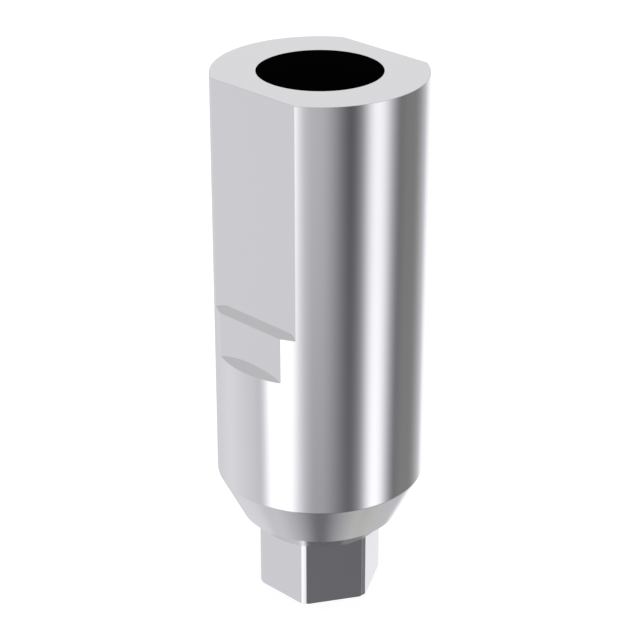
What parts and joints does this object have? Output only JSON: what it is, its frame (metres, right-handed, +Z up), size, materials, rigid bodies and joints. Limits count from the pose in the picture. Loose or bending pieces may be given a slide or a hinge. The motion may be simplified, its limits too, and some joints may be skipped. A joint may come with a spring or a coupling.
{
  "type": "dental scan body",
  "caption": "Slim metal post for digital impressions: flatted cylinder with two shallow ledges, tapered lower end, hexagonal index spigot and a screw channel.",
  "frame": {"origin": "centre of the flat annular seat that lands on the implant platform, on the axis of the part", "axes": "+Z up the axis towards the open end of the screw channel, away from the implant; the stepped index flat faces -Y, the plain flat faces +Y, and one face of the hexagon is parallel to the index flat"},
  "size_m": [0.0044, 0.0044, 0.012],
  "materials": {
    "titanium": "bright turned and milled titanium alloy, smooth, with fine tool marks"
  },
  "bodies": {
    "root": {"scan_body": "titanium"}
  },
  "joints": []
}
